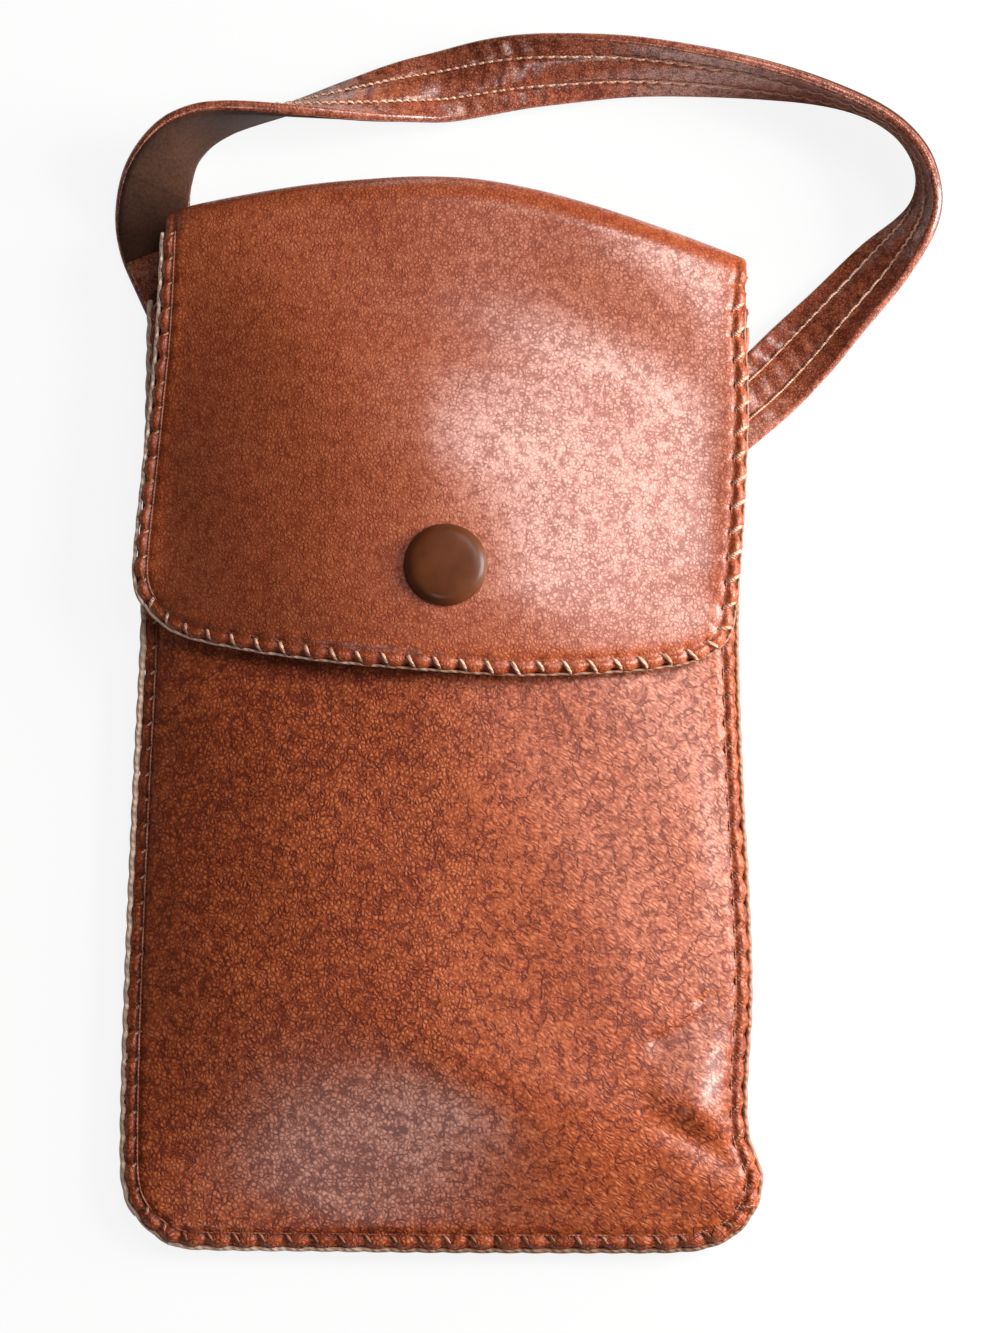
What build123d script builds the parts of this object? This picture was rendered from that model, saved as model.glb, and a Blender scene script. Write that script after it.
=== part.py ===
from build123d import *
import os
from math import atan2, cos, degrees, hypot, radians, sin, sqrt, tau

os.makedirs("parts", exist_ok=True)

# A soft leather case for a camera flash, lying on its back, its flap snapped shut.
# Millimetres. X runs across the case, +Y towards the flap's fold and the strap, +Z up.
# The origin is the middle of the back's resting face.

# Driving dimensions: leather
leather = 1.6  # outer leather of the case
lining = 0.6  # thin leather lining
thread = 0.7  # sewing thread
pulled = 0.35  # the same thread where it is pulled flat on the leather
thread_step = 0.5  # step under the back's edge that takes the thread
seam_margin = 3.5  # flat leather outside the pocket's swell

# Driving dimensions: case body
bottom_y = -88.0
bottom_width = 101.0
mouth_width = 98.0
bottom_corner = 9.0
mouth_y = 66.8  # top edge of the front panel
pocket_rise = 9.5  # how far the empty pocket swells at its middle
mouth_rise = 7.5  # the same at the mouth
swell_end_y = -45.0  # where the bottom's slope reaches the full swell
swell_halfway = 7.6  # how far it has swelled half way up that slope
swell_fall_y = 35.0  # where it starts to fall towards the mouth
strap_bed_start_y = 8.0  # the back lifts between these two, over the strap's ends
strap_bed_y = 22.0

# Driving dimensions: flap and its fold
fold_left_y = 82.6  # crest of the fold at the case's left edge
fold_peak_x = -2.0
fold_peak_y = 88.0
fold_right_y = 74.7
flap_gap = 1.1  # flap above the sewn edge of the body
flap_left_y = 8.0  # lower edge of the flap at its left, middle and right
flap_middle_y = 2.8
flap_right_y = 6.0
flap_corner = 7.0
flap_width = 99.0
flap_lift_y = 48.0  # the flap's edges rise to the fold between these two
flap_level_y = 66.0

# Driving dimensions: snap
snap_x = 0.5
snap_y = 19.8
cap_radius = 6.7
cap_height = 2.6
cap_dome = 1.4  # how far the cap's middle stands over its rim
sheet_metal = 0.5
stud_base_radius = 5.4
stud_neck_radius = 2.6
stud_head_radius = 3.0
stud_height = 2.3
stud_head_height = 0.9
stud_bevel = 0.3
socket_radius = 6.2
socket_clearance = 0.3
spring_wire = 0.25  # radius of the spring's wire
spring_groove = 0.9
spring_lip = 0.35
spring_split = 1.2
post_radius = 1.9
post_flange_radius = 6.0
post_flare_radius = 2.8
post_flare = 0.25  # thickness of the cap post's flared foot
patch_radius = 8.0
snap_headroom = 0.35  # stud's head to the cap post's foot

# Driving dimensions: strap
strap_width = 12.7
strap_leather = 1.3
strap_backing = 0.9
strap_rows_apart = 5.0
strap_stitch_pitch = 3.8
tab_length = 13.0
facing_length = 54.0  # leather facing on the underside of the strap's left end
tab_inset = 1.5  # tab stitches from the strap's edges and end
tab_side_stitches = 4

# Driving dimensions: stitches
stitch_pitch = 4.2
needle_inset = 2.3  # needle line from the leather's edge
strap_stitch_length = 2.6
mouth_stitch_inset = 3.0

# The strap's middle line seen from above, with how far its sewn face is rolled: 0 is face up,
# 90 faces away from the case, 180 is face down. It rests on the table all the way.
strap_route = [
    (-27.0, 34.0, 180),
    (-35.0, 49.0, 180),
    (-46.0, 72.0, 180),
    (-49.3, 80.0, 180),
    (-49.3, 86.0, 162),
    (-47.3, 91.5, 136),
    (-43.6, 96.2, 112),
    (-37.0, 99.4, 90),
    (-24.0, 101.5, 62),
    (-13.7, 103.6, 36),
    (-2.4, 106.4, 5),
    (9.6, 108.3, -25),
    (20.0, 108.9, -45),
    (35.0, 108.8, -66),
    (55.0, 106.4, -88),
    (68.0, 103.1, -103),
    (76.0, 99.0, -106),
    (80.5, 93.5, -100),
    (81.7, 87.5, -86),
    (79.8, 81.2, -62),
    (73.9, 74.0, -38),
    (66.0, 65.5, -26),
    (60.0, 59.4, -9),
    (53.0, 52.7, 0),
    (40.0, 42.0, 0),
    (27.0, 32.0, 0),
]
sections_per_span = 3

# Sizes that follow
strap_thickness = strap_leather + strap_backing
stack = 2 * (leather + lining)  # back and front sewn together at the edge
pocket_half = mouth_width / 2 - seam_margin
flap_half = flap_width / 2
flap_low = stack + flap_gap  # underside of the flap over the sewn edge
flap_stack = leather + lining
front_top = stack + pocket_rise  # top of the front panel at its middle
snap_gap = stud_height + snap_headroom + post_flare + sheet_metal  # flap over the front, at the snap
flap_rise = pocket_rise + snap_gap - flap_gap
flap_under = flap_low + flap_rise  # underside of the flap at the snap
flap_top = flap_under + flap_stack
fold_top = stack + mouth_rise + flap_gap + flap_stack
fold_radius = (fold_top - strap_thickness) / 2
fold_middle_z = strap_thickness + fold_radius
flap_level = fold_top - flap_low - flap_stack
far = 200.0
deep = 20.0


def circle_through(a, b, c):
    """Centre and radius of the circle through three points in plan."""
    (ax, ay), (bx, by), (cx, cy) = a, b, c
    d = 2 * (ax * (by - cy) + bx * (cy - ay) + cx * (ay - by))
    a2, b2, c2 = ax * ax + ay * ay, bx * bx + by * by, cx * cx + cy * cy
    x = (a2 * (by - cy) + b2 * (cy - ay) + c2 * (ay - by)) / d
    y = (a2 * (cx - bx) + b2 * (ax - cx) + c2 * (bx - ax)) / d
    return x, y, hypot(ax - x, ay - y)


fold_x, fold_y, fold_reach = circle_through(
    (-flap_half, fold_left_y), (fold_peak_x, fold_peak_y), (flap_half, fold_right_y)
)
panel_reach = fold_reach - fold_radius  # where the flat sheets meet the fold


def arch(x, half, rise):
    """Height of a circular arch over its ends."""
    radius = (half * half + rise * rise) / (2 * rise)
    return sqrt(max(radius * radius - x * x, 0.0)) - (radius - rise)


def ramp(y, points):
    """Height at y along a chain of straight slopes."""
    for (y0, z0), (y1, z1) in zip(points, points[1:]):
        if y <= y1:
            return z0 + (z1 - z0) * max(y - y0, 0.0) / (y1 - y0)
    return points[-1][1]


back_slope = [
    (-far, 0.0),
    (strap_bed_start_y, 0.0),
    (strap_bed_y, strap_thickness),
    (far, strap_thickness),
]
flap_edge_slope = [
    (-far, 0.0),
    (strap_bed_start_y, 0.0),
    (strap_bed_y, strap_thickness),
    (flap_lift_y, strap_thickness),
    (flap_level_y, flap_level),
    (far, flap_level),
]
flap_crown_slope = [
    (-far, flap_rise),
    (flap_lift_y, flap_rise),
    (mouth_y, flap_level),
    (far, flap_level),
]


def under_slope(points, height):
    """Everything below a chain of slopes that is raised by height."""
    top = [(y, z + height) for y, z in points]
    outline = [(-far, -deep)] + top + [(far, -deep)]
    face = make_face(Plane.YZ * Polyline(*outline, close=True))
    return extrude(face, far, both=True)


def under_arch(half, rise, height):
    """Everything below an arch across the case that is raised by height."""
    bow = ThreePointArc((-half, height), (0, height + rise), (half, height))
    sides = Polyline((half, height), (half, -deep), (-half, -deep), (-half, height))
    return extrude(make_face(Plane.XZ * (bow + sides)), far, both=True)


def pocket_length(height):
    """Everything below the pocket's swell along the case, raised by height."""
    start = bottom_y + seam_margin
    full = height + pocket_rise
    middle = (start + swell_end_y) / 2
    curve = ThreePointArc(
        (start, height), (middle, height + swell_halfway), (swell_end_y, full)
    )
    rest = Polyline(
        (swell_end_y, full),
        (swell_fall_y, full),
        (mouth_y, height + mouth_rise),
        (far, height + mouth_rise),
        (far, -deep),
        (start, -deep),
        (start, height),
    )
    return extrude(make_face(Plane.YZ * (curve + rest)), far, both=True)


def under_body(height):
    swell = under_arch(pocket_half, pocket_rise, height) & pocket_length(height)
    return under_slope(back_slope, height) + swell


def under_flap(height):
    crown = under_arch(pocket_half, flap_rise, height)
    crown = crown & under_slope(flap_crown_slope, height)
    return under_slope(flap_edge_slope, height) + crown


def body_outline(inset=0.0):
    """The case from above, rounded at the bottom and ending at the fold."""
    low, high = bottom_width / 2 - inset, mouth_width / 2 - inset
    base = bottom_y + inset
    outline = Polyline((-low, base), (low, base), (high, mouth_y), (high, far / 2),
                       (-high, far / 2), (-high, mouth_y), close=True)
    face = make_face(outline)
    corners = face.vertices().sort_by(Axis.Y)[:2]
    face = fillet(corners, bottom_corner - inset)
    return face & Pos(fold_x, fold_y) * Circle(panel_reach - inset)


lower_edge = ((-flap_half, flap_left_y), (fold_peak_x, flap_middle_y), (flap_half, flap_right_y))
lower_x, lower_y, lower_reach = circle_through(*lower_edge)


def flap_lower_y(x):
    """The flap's lower edge, between its rounded corners."""
    return lower_y - sqrt(lower_reach ** 2 - (x - lower_x) ** 2)


def flap_outline():
    """The flap from above, from the fold to its rounded lower corners."""
    lower = ThreePointArc(*lower_edge)
    rest = Polyline(
        (flap_half, flap_right_y), (flap_half, far / 2), (-flap_half, far / 2),
        (-flap_half, flap_left_y)
    )
    face = make_face(lower + rest)
    corners = face.vertices().sort_by(Axis.Y)[:2]
    face = fillet(corners, flap_corner)
    return face & Pos(fold_x, fold_y) * Circle(panel_reach)


def column(face, low=-deep / 2, high=2 * deep):
    return extrude(Pos(0, 0, low) * face, high - low)


def snap_bore(radius):
    return Pos(snap_x, snap_y) * column(Circle(radius))


def cut_to(shape, outline):
    return shape & column(outline)


# Back panel: one thickness of leather, with a step under its edge for the seam's thread
def back_panel():
    panel = cut_to(under_slope(back_slope, leather) - under_slope(back_slope, 0), body_outline())
    edge = column(body_outline()) - column(body_outline(needle_inset + thread))
    return panel - (edge & under_slope(back_slope, thread_step))


def back_lining():
    sheet = under_slope(back_slope, leather + lining) - under_slope(back_slope, leather)
    return cut_to(sheet, body_outline())


def below_mouth():
    return Pos(0, mouth_y - far, 0) * Box(2 * far, 2 * far, 2 * far)


# Front lining and panel: two swelled sheets, open at the mouth
def front_sheet(low, thickness):
    sheet = under_body(low + thickness) - under_body(low)
    sheet = cut_to(sheet, body_outline()) & below_mouth()
    return sheet - snap_bore(post_radius)


def front_lining():
    return front_sheet(leather + lining, lining)


def front_panel():
    return front_sheet(leather + 2 * lining, leather)


# Flap: leather over its lining, from the fold down over the front
def flap_sheet(low, thickness):
    sheet = under_flap(low + thickness) - under_flap(low)
    return cut_to(sheet, flap_outline()) - snap_bore(post_radius)


def flap_lining():
    return flap_sheet(flap_low, lining)


def flap_panel():
    return flap_sheet(flap_low + lining, leather)


# Fold: the living hinge, a half round of the same two sheets, bowed in plan
def fold_sheet(outer, thickness):
    inner = outer - thickness
    half_ring = make_face(
        Plane.XZ
        * (
            ThreePointArc((0, outer), (outer, 0), (0, -outer))
            + Line((0, -outer), (0, -inner))
            + ThreePointArc((0, -inner), (inner, 0), (0, inner))
            + Line((0, inner), (0, outer))
        )
    )
    ring = revolve(Pos(panel_reach, 0, fold_middle_z) * half_ring, Axis.Z, 180)
    ring = Pos(fold_x, fold_y) * ring
    return ring & Pos(0, far / 2, 0) * Box(flap_width, far, 4 * deep)


def flap_fold():
    return fold_sheet(fold_radius, leather)


def fold_lining():
    return fold_sheet(fold_radius - leather, lining)


# Seam stitches: each is a staple of thread around the edge of the sewn stack
def staple(low, high):
    outer = Box(thread, needle_inset + pulled, high - low + 2 * pulled)
    inner = Pos(0, pulled, 0) * Box(2 * thread, needle_inset + pulled, high - low)
    return Pos(0, (needle_inset - pulled) / 2, (low + high) / 2) * (outer - inner)


def edge_walk(points, pitch):
    """Even places along a chain of points, each with its heading in degrees."""
    places = []
    along = pitch / 2
    for (x0, y0), (x1, y1) in zip(points, points[1:]):
        length = hypot(x1 - x0, y1 - y0)
        while along <= length:
            share = along / length
            heading = degrees(atan2(y1 - y0, x1 - x0))
            places.append((x0 + share * (x1 - x0), y0 + share * (y1 - y0), heading))
            along += pitch
        along -= length
    return places


def sew(places, low, high, height):
    """Staples at each place, standing on the height that the leather has there."""
    stitches = []
    for x, y, heading in places:
        stitches.append(Pos(x, y, height(x, y)) * Rot(0, 0, heading) * staple(low, high))
    return Compound(children=stitches)


def body_height(x, y):
    return ramp(y, back_slope)


def body_edge(side):
    """The sewn edge up to the mouth, walked with the leather on its left."""
    low, high = bottom_width / 2, mouth_width / 2
    start = bottom_y + bottom_corner
    stop = mouth_y - thread
    if side == "left":
        return [(-high, stop), (-low, start)]
    if side == "right":
        return [(low, start), (high, stop)]
    corner = low - bottom_corner
    turn = bottom_corner * sin(tau / 8)
    return [
        (-low, start),
        (-corner - turn, start - turn),
        (-corner, bottom_y),
        (corner, bottom_y),
        (corner + turn, start - turn),
        (low, start),
    ]


def body_stitches(side):
    return sew(edge_walk(body_edge(side), stitch_pitch), thread_step, stack, body_height)


def flap_height(x, y):
    crown = min(arch(x, pocket_half, flap_rise), ramp(y, flap_crown_slope))
    crown = crown if abs(x) < pocket_half else 0.0
    return flap_low + max(crown, ramp(y, flap_edge_slope))


def flap_edge(side):
    """The flap's free edge, walked with the leather on its left."""
    inner = flap_half - flap_corner
    left_y = flap_lower_y(-inner) + flap_corner
    right_y = flap_lower_y(inner) + flap_corner
    if side == "left":
        return [(-flap_half, fold_left_y - 2 * fold_radius), (-flap_half, left_y)]
    if side == "right":
        return [(flap_half, right_y), (flap_half, fold_right_y - 2 * fold_radius)]
    turn = flap_corner * sin(tau / 8)
    spots = [(x * inner, flap_lower_y(x * inner)) for x in (-1, -0.5, 0, 0.5, 1)]
    return [
        (-flap_half, left_y),
        (-inner - turn, left_y - turn),
        *spots,
        (inner + turn, right_y - turn),
        (flap_half, right_y),
    ]


def flap_stitches(side):
    return sew(edge_walk(flap_edge(side), stitch_pitch), 0, flap_stack, flap_height)


# Mouth stitches: a straight row that holds the lining at the pocket's mouth
def mouth_stitches():
    y = mouth_y - mouth_stitch_inset
    stitches = []
    count = int((2 * pocket_half - stitch_pitch) / stitch_pitch)
    for i in range(count):
        x = (i - (count - 1) / 2) * stitch_pitch
        crown = min(arch(x, pocket_half, pocket_rise), mouth_rise)
        z = stack + max(crown, strap_thickness)
        stitches.append(Pos(x, y, z) * Box(strap_stitch_length, thread, thread))
    return Compound(children=stitches)


def turned(points):
    """A round piece on the snap's axis, from its half outline as (radius, height) points."""
    face = make_face(Plane.XZ * Polyline(*points, close=True))
    return Pos(snap_x, snap_y) * revolve(face, Axis.Z, 360)


# Snap stud: a sheet metal knob on the front panel
def snap_stud():
    base = front_top
    neck = base + sheet_metal
    head = base + stud_height
    bore = post_radius
    return turned(
        [
            (bore, base),
            (stud_base_radius, base),
            (stud_base_radius, neck),
            (stud_neck_radius, neck),
            (stud_neck_radius, head - stud_head_height),
            (stud_head_radius, head - stud_head_height + stud_bevel),
            (stud_head_radius, head - stud_bevel),
            (stud_head_radius - stud_bevel, head),
            (bore, head),
        ]
    )


# Stud patch: a leather disc that spreads the snap's pull inside the pocket
def stud_patch():
    top = front_top - leather - lining
    return turned(
        [(post_radius, top - leather), (patch_radius, top - leather), (patch_radius, top),
         (post_radius, top)]
    )


# Stud post: the hollow rivet that comes from inside the pocket and is clinched in the stud
def stud_post():
    low = front_top - 2 * leather - lining
    high = front_top + stud_height - sheet_metal
    wall = post_radius - sheet_metal
    return turned(
        [
            (wall, low - sheet_metal),
            (post_flange_radius, low - sheet_metal),
            (post_flange_radius, low),
            (post_radius, low),
            (post_radius, high),
            (wall, high),
        ]
    )


# Snap socket: the female half under the flap, open below, with a groove for its spring
def snap_socket():
    low = front_top + sheet_metal + socket_clearance
    high = flap_under
    mouth = stud_head_radius + socket_clearance
    roof = high - sheet_metal
    groove = mouth + spring_groove
    return turned(
        [
            (mouth, low),
            (socket_radius, low),
            (socket_radius, high),
            (post_radius, high),
            (post_radius, roof),
            (mouth, roof),
            (mouth, low + sheet_metal + 2 * spring_wire),
            (groove, low + sheet_metal + 2 * spring_wire),
            (groove, low + spring_lip),
            (mouth, low + spring_lip),
        ]
    )


# Snap spring: a split ring of wire that grips under the stud's head
def snap_spring():
    low = front_top + sheet_metal + socket_clearance
    middle = stud_head_radius + socket_clearance + spring_wire
    height = low + (spring_lip + sheet_metal + 2 * spring_wire) / 2
    ring = Pos(snap_x, snap_y, height) * Torus(middle, spring_wire)
    split = Pos(snap_x + middle, snap_y, height) * Box(spring_split, spring_split, spring_split)
    return ring - split


# Snap cap: a domed shell with a rolled rim on the flap
def snap_cap():
    ball = (cap_radius ** 2 + cap_dome ** 2) / (2 * cap_dome)
    inside = cap_radius - sheet_metal
    rim = Pos(0, 0, cap_height / 2) * Cylinder(cap_radius, cap_height)
    outer = rim & Pos(0, 0, cap_height - ball) * Sphere(ball)
    hollow = Cylinder(inside, 2 * cap_height)
    hollow = hollow & Pos(0, 0, cap_height - sheet_metal - ball) * Sphere(ball)
    return Pos(snap_x, snap_y, flap_top) * (outer - hollow)


# Cap post: the tube that comes down from the cap through the flap and flares in the socket
def cap_post():
    high = flap_top + cap_height - 2 * sheet_metal
    low = flap_under - sheet_metal
    wall = post_radius - sheet_metal
    foot = low - post_flare
    return turned(
        [
            (wall, foot),
            (post_flare_radius, foot),
            (post_flare_radius, low),
            (post_radius, low),
            (post_radius, high),
            (wall, high),
        ]
    )


def smooth_route():
    """The strap's stations with more between them: a curve in plan and an even roll."""
    found = []
    last = len(strap_route) - 1
    for i in range(last):
        p0 = strap_route[max(i - 1, 0)]
        p1, p2 = strap_route[i], strap_route[i + 1]
        p3 = strap_route[min(i + 2, last)]
        for k in range(sections_per_span):
            t = k / sections_per_span
            x, y = (
                0.5 * (2 * b + (c - a) * t + (2 * a - 5 * b + 4 * c - d) * t * t
                       + (3 * b - a - 3 * c + d) * t ** 3)
                for a, b, c, d in zip(p0[:2], p1[:2], p2[:2], p3[:2])
            )
            found.append((x, y, p1[2] + (p2[2] - p1[2]) * t))
    found.append(strap_route[last])
    return found


def strap_frames():
    """A plane at each section: x across the strap, z out of its sewn face, y along it."""
    route = smooth_route()
    frames = []
    for i, (x, y, roll) in enumerate(route):
        xa, ya, _ = route[max(i - 1, 0)]
        xb, yb, _ = route[min(i + 1, len(route) - 1)]
        length = hypot(xb - xa, yb - ya)
        along = Vector((xb - xa) / length, (yb - ya) / length, 0)
        away = Vector(-along.Y, along.X, 0)
        lean = radians(roll)
        face = Vector(0, 0, cos(lean)) + away * sin(lean)
        across = along.cross(face)
        lift = strap_width / 2 * abs(sin(lean)) + strap_thickness / 2 * abs(cos(lean))
        frames.append(Plane(origin=(x, y, lift), x_dir=across, z_dir=face))
    return frames


def strap_layer(frames, low, high):
    """A flat strip through the frames, between two heights over the strap's middle."""
    sections = []
    for frame in frames:
        corners = [
            frame.origin + frame.x_dir * side * strap_width / 2 + frame.z_dir * height
            for side, height in ((-1, low), (1, low), (1, high), (-1, high))
        ]
        sections.append(Face(Wire(Polyline(*corners, close=True).edges())))
    return loft(sections, ruled=True)


def length_to(frames, distance):
    """How many frames it takes to go a distance along the strap."""
    gone = 0.0
    for i, (a, b) in enumerate(zip(frames, frames[1:])):
        gone += (b.origin - a.origin).length
        if gone >= distance:
            return i + 2
    return len(frames)


frames = strap_frames()
half_strap = strap_thickness / 2
facing_end = length_to(frames, facing_length)
tab_frames = length_to(frames, tab_length)


# Strap: a strip of leather, sewn face out
def strap_strip():
    return strap_layer(frames, half_strap - strap_leather, half_strap)


# Strap facing: the leather that covers the underside of the strap's left end
def strap_facing():
    return strap_layer(frames[:facing_end], -half_strap, half_strap - strap_leather)


# Strap backing: suede along the rest of the underside
def strap_suede():
    return strap_layer(frames[facing_end - 1 :], -half_strap, half_strap - strap_leather)


def strap_row(side):
    """One row of stitches along the strap, between its two sewn ends."""
    stitches = []
    start, stop = tab_frames, len(frames) - tab_frames
    along = strap_stitch_pitch / 2
    for a, b in zip(frames[start:stop], frames[start + 1 : stop + 1]):
        length = (b.origin - a.origin).length
        while along <= length:
            share = along / length
            spot = a.origin * (1 - share) + b.origin * share
            across = a.x_dir * (1 - share) + b.x_dir * share
            face = a.z_dir * (1 - share) + b.z_dir * share
            spot = spot + across.normalized() * side * strap_rows_apart / 2
            spot = spot + face.normalized() * (half_strap - pulled / 2)
            plane = Plane(origin=spot, x_dir=across, z_dir=face)
            stitches.append(plane * Box(thread, strap_stitch_length, pulled))
            along += strap_stitch_pitch
        along -= length
    return Compound(children=stitches)


# Tab stitches: a box of stitches that sews a strap end to the back panel
def tab_stitches(frame, towards):
    half = strap_width / 2 - tab_inset
    reach = tab_length - tab_inset
    stitches = []
    spots = []
    for i in range(tab_side_stitches):
        along = tab_inset + reach * (i + 0.5) / tab_side_stitches
        spots += [(-half, along, 0), (half, along, 0)]
    for across in (-half / 2, half / 2):
        spots += [(across, tab_inset, 90), (across, tab_inset + reach, 90)]
    flat = Plane(origin=(frame.origin.X, frame.origin.Y, 0), x_dir=(towards.Y, -towards.X, 0))
    for across, along, turn in spots:
        place = flat * Pos(across, along, pulled / 2) * Rot(0, 0, turn)
        stitches.append(place * Box(thread, strap_stitch_length, pulled))
    return Compound(children=stitches)


def left_tab_stitches():
    return tab_stitches(frames[0], (frames[1].origin - frames[0].origin).normalized())


def right_tab_stitches():
    return tab_stitches(frames[-1], (frames[-2].origin - frames[-1].origin).normalized())


parts = {
    "back_panel": back_panel(),
    "back_lining": back_lining(),
    "front_lining": front_lining(),
    "front_panel": front_panel(),
    "left_seam_stitches": body_stitches("left"),
    "bottom_seam_stitches": body_stitches("bottom"),
    "right_seam_stitches": body_stitches("right"),
    "mouth_stitches": mouth_stitches(),
    "flap_panel": flap_panel(),
    "flap_lining": flap_lining(),
    "flap_fold": flap_fold(),
    "fold_lining": fold_lining(),
    "flap_left_stitches": flap_stitches("left"),
    "flap_lower_stitches": flap_stitches("lower"),
    "flap_right_stitches": flap_stitches("right"),
    "snap_stud": snap_stud(),
    "stud_patch": stud_patch(),
    "stud_post": stud_post(),
    "snap_socket": snap_socket(),
    "snap_spring": snap_spring(),
    "snap_cap": snap_cap(),
    "cap_post": cap_post(),
    "strap_strip": strap_strip(),
    "strap_facing": strap_facing(),
    "strap_suede": strap_suede(),
    "strap_outer_row": strap_row(1),
    "strap_inner_row": strap_row(-1),
    "left_tab_stitches": left_tab_stitches(),
    "right_tab_stitches": right_tab_stitches(),
}

for name, shape in parts.items():
    export_step(shape, f"parts/{name}.step")
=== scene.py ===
import math

import bpy
import numpy as np
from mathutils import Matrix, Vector


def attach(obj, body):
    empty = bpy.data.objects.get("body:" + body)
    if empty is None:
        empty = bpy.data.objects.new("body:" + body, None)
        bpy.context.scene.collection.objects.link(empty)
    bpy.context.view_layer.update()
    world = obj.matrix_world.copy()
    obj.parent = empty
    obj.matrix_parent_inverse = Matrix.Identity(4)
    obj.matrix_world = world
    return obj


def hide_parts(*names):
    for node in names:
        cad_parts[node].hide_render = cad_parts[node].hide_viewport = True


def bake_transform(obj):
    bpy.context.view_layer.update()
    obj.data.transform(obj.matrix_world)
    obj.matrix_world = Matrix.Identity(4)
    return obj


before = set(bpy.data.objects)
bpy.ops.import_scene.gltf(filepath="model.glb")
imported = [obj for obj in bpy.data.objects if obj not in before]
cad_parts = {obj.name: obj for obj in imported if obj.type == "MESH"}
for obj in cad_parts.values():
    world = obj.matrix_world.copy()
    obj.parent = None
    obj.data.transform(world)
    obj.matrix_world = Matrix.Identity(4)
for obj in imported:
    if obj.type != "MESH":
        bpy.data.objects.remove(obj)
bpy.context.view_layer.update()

# The table and the lamps: a plain white sheet under soft daylight. The camera hangs over the case
# and looks almost straight down, leaning a little towards the fold.
scene = bpy.context.scene
scene.view_settings.view_transform = "Standard"
camera = bpy.data.cameras.new("camera")
camera.lens, camera.sensor_width = 68.74, 36.0
camera.clip_start, camera.clip_end = 0.01, 20.0
eye = bpy.data.objects.new("camera", camera)
eye.location = (0.0096, -0.0600, 0.4188)
eye.rotation_euler = (math.radians(9), 0, 0)
scene.collection.objects.link(eye)
scene.camera = eye


class Tone:
    """A socket in a piece's finish or in a rule for thread; + - * / make its Math nodes."""

    def __init__(self, tree, socket=None):
        self.tree, self.socket = tree, socket

    def node(self, kind, settings=None, links=None, out=0):
        made = self.tree.nodes.new(kind)
        for name, value in (settings or {}).items():
            if name == "stops":
                while len(made.color_ramp.elements) < len(value):
                    made.color_ramp.elements.new(0.5)
                for stop, (place, colour) in zip(made.color_ramp.elements, value):
                    stop.position, stop.color = place, (*colour, 1.0)
            else:
                setattr(made, name, value)
        for name, value in (links or {}).items():
            if isinstance(value, Tone):
                self.tree.links.new(value.socket, made.inputs[name])
            elif value is not None:
                made.inputs[name].default_value = value
        return Tone(self.tree, made.outputs[out])

    def math(self, operation, first, second=None):
        return self.node("ShaderNodeMath", {"operation": operation}, {0: first, 1: second})

    def __add__(self, other):
        return self.math("ADD", self, other)

    def __radd__(self, other):
        return self.math("ADD", other, self)

    def __sub__(self, other):
        return self.math("SUBTRACT", self, other)

    def __rsub__(self, other):
        return self.math("SUBTRACT", other, self)

    def __mul__(self, other):
        return self.math("MULTIPLY", self, other)

    def __rmul__(self, other):
        return self.math("MULTIPLY", other, self)

    def __truediv__(self, other):
        return self.math("DIVIDE", self, other)

    def between(self, low, high, to_low=0.0, to_high=1.0):
        return self.node("ShaderNodeMapRange", {"interpolation_type": "SMOOTHSTEP"},
                         {"Value": self, "From Min": low, "From Max": high,
                          "To Min": to_low, "To Max": to_high})

    def blend(self, first, second):
        """From the first colour to the second as this value goes from 0 to 1."""
        first = first if isinstance(first, Tone) else (*first, 1.0)
        second = second if isinstance(second, Tone) else (*second, 1.0)
        return self.node("ShaderNodeMix", {"data_type": "RGBA"}, {0: self, 6: first, 7: second}, 2)

    def shifted(self, other, amount):
        """This vector moved by another, times an amount."""
        push = self.node("ShaderNodeVectorMath", {"operation": "SCALE"},
                         {0: other, "Scale": amount})
        return self.node("ShaderNodeVectorMath", {"operation": "ADD"}, {0: self, 1: push})

    def noise(self, scale, detail, rough=0.5, out=0):
        """Cloudy noise at this place."""
        return self.node("ShaderNodeTexNoise", {}, {
            "Vector": self, "Scale": scale, "Detail": detail, "Roughness": rough}, out)

    def cells(self, scale):
        """How far this place is from the border of its cell."""
        return self.node("ShaderNodeTexVoronoi", {"feature": "DISTANCE_TO_EDGE"},
                         {"Vector": self, "Scale": scale})

    def plies(self, scale, distortion):
        """The slanting furrows of twisted thread at this place."""
        return self.node("ShaderNodeTexWave", {"bands_direction": "DIAGONAL"}, {
            "Vector": self, "Scale": scale, "Distortion": distortion, "Detail": 1.0})


def finish(name, **constants):
    """A new material, its principled shader and a start for its pattern."""
    material = bpy.data.materials.new(name)
    material.use_nodes = True
    shader = material.node_tree.nodes["Principled BSDF"]
    for key, value in constants.items():
        shader.inputs[key.replace("_", " ")].default_value = value
    return material, shader, Tone(material.node_tree)


def feed(shader, name, tone):
    """What changes over a surface goes to one of its shader's sockets."""
    tone.tree.links.new(tone.socket, shader.inputs[name])


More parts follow.
